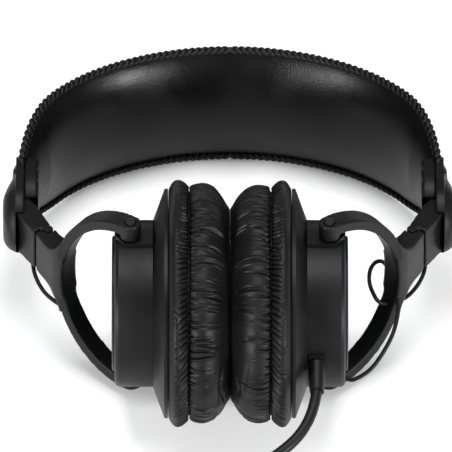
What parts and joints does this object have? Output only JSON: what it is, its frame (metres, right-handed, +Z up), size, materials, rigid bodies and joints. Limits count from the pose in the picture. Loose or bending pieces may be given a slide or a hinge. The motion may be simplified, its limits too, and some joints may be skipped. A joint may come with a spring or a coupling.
{
  "type": "over ear headphones",
  "caption": "Folding closed-back over-ear headphones with padded headband, sliding ends, C-shaped yokes, round ear cups, soft oval pads and a cable with jack plug.",
  "frame": {"origin": "on the surface that the headphones lie on, under the middle of their length and width, without the cable", "axes": "+Y from the ear cups to the headband's crown, +X to the wearer's left, +Z up from the surface, which is nearly the wearer's front"},
  "size_m": [0.1724, 0.2827, 0.0883],
  "materials": {
    "arm_plastic": "satin black plastic",
    "cable_rubber": "matte black cable jacket",
    "cap_plate": "plain blue-grey disc",
    "diaphragm_film": "thin film",
    "driver_plastic": "black",
    "felt": "grey felt",
    "leatherette": "matte black leatherette, fine grain",
    "leatherette_lining": "smooth semi-gloss black leatherette",
    "pad_leatherette": "soft wrinkled black leatherette",
    "pin_metal": "black pivot pin",
    "piping": "twisted black cord edging",
    "plug_metal": "polished contact",
    "plug_shell": "black",
    "screen_cloth": "thin black cloth",
    "screw": "black screw",
    "shell_plastic": "moulded black plastic, fine texture",
    "steel": "sprung steel",
    "tie": "black hook and loop tie",
    "wire": "black insulated wire"
  },
  "bodies": {
    "headband": {"band_cover": "leatherette", "spring_strip": "steel", "band_lining": "leatherette_lining", "piping_front": "piping", "piping_rear": "piping", "band_lead": "wire"},
    "end_left": {"end_cover_outer_left": "shell_plastic", "end_cover_inner_left": "shell_plastic", "end_cover_screws_left": "screw", "detent_spring_left": "steel"},
    "slider_left": {"slider_block_left": "arm_plastic", "slider_strip_left": "steel", "fold_hinge_pin_left": "screw", "upper_lead_left": "wire"},
    "yoke_left": {"yoke_left": "arm_plastic", "pivot_pins_left": "pin_metal", "lower_lead_left": "wire"},
    "cup_left": {"housing_left": "shell_plastic", "cup_cap_left": "cap_plate", "baffle_plate_left": "shell_plastic", "housing_screws_left": "screw", "driver_frame_left": "driver_plastic", "driver_magnet_left": "steel", "diaphragm_left": "diaphragm_film", "driver_grille_left": "driver_plastic", "damping_felt_left": "felt", "ear_pad_left": "pad_leatherette", "pad_screen_left": "screen_cloth", "strain_relief": "cable_rubber"},
    "end_right": {"end_cover_outer_right": "shell_plastic", "end_cover_inner_right": "shell_plastic", "end_cover_screws_right": "screw", "detent_spring_right": "steel"},
    "slider_right": {"slider_block_right": "arm_plastic", "slider_strip_right": "steel", "fold_hinge_pin_right": "screw", "upper_lead_right": "wire"},
    "yoke_right": {"yoke_right": "arm_plastic", "pivot_pins_right": "pin_metal", "lower_lead_right": "wire"},
    "cup_right": {"housing_right": "shell_plastic", "cup_cap_right": "cap_plate", "baffle_plate_right": "shell_plastic", "housing_screws_right": "screw", "driver_frame_right": "driver_plastic", "driver_magnet_right": "steel", "diaphragm_right": "diaphragm_film", "driver_grille_right": "driver_plastic", "damping_felt_right": "felt", "ear_pad_right": "pad_leatherette", "pad_screen_right": "screen_cloth"},
    "free_cable": {"cable": "cable_rubber", "cable_coil": "cable_rubber", "cable_tail": "cable_rubber", "coil_tie": "tie", "plug_boot": "cable_rubber", "plug_barrel": "plug_shell", "plug_jack": "plug_metal"}
  },
  "joints": [
    {"name": "band_flex_left", "type": "hinge", "parent": "headband", "child": "end_left", "pos_m": [0.01, 0.07982, 0.0268], "axis": [0, 0.1469, 0.9891], "range_deg": [0, 18.5], "deforming": ["band_cover", "spring_strip", "band_lining", "piping_front", "piping_rear", "band_lead"]},
    {"name": "slide_left", "type": "slide", "parent": "end_left", "child": "slider_left", "axis": [0, -0.9891, 0.1469], "range_m": [0, 0.03]},
    {"name": "fold_left", "type": "hinge", "parent": "slider_left", "child": "yoke_left", "pos_m": [0.0689, -0.00406, 0.03926], "axis": [0, 0.1469, 0.9891], "range_deg": [-40, 0], "deforming": ["upper_lead_left", "ear_pad_left"]},
    {"name": "tilt_left", "type": "hinge", "parent": "yoke_left", "child": "cup_left", "pos_m": [0.0374, -0.0369, 0.04414], "axis": [0, 0.1469, 0.9891], "range_deg": [-10, 10], "deforming": ["lower_lead_left"]},
    {"name": "band_flex_right", "type": "hinge", "parent": "headband", "child": "end_right", "pos_m": [-0.01, 0.07982, 0.0268], "axis": [0, 0.1469, 0.9891], "range_deg": [-18.5, 0]},
    {"name": "slide_right", "type": "slide", "parent": "end_right", "child": "slider_right", "axis": [0, -0.9891, 0.1469], "range_m": [0, 0.03]},
    {"name": "fold_right", "type": "hinge", "parent": "slider_right", "child": "yoke_right", "pos_m": [-0.0689, -0.00406, 0.03926], "axis": [0, 0.1469, 0.9891], "range_deg": [0, 40], "deforming": ["upper_lead_right", "ear_pad_right"]},
    {"name": "tilt_right", "type": "hinge", "parent": "yoke_right", "child": "cup_right", "pos_m": [-0.0374, -0.0369, 0.04414], "axis": [0, 0.1469, 0.9891], "range_deg": [-10, 10], "deforming": ["lower_lead_right"]},
    {"name": "cable_bend", "type": "hinge", "parent": "cup_left", "child": "free_cable", "pos_m": [0.0325, -0.0826, 0.046], "axis": [0, 0.1469, 0.9891], "range_deg": [0, 22], "deforming": ["cable"]}
  ],
  "couplings": [
    {"joint": "band_flex_left", "follows": "fold_left", "ratio": -0.45},
    {"joint": "band_flex_right", "follows": "fold_right", "ratio": -0.45},
    {"joint": "cable_bend", "follows": "fold_left", "ratio": -0.53}
  ]
}
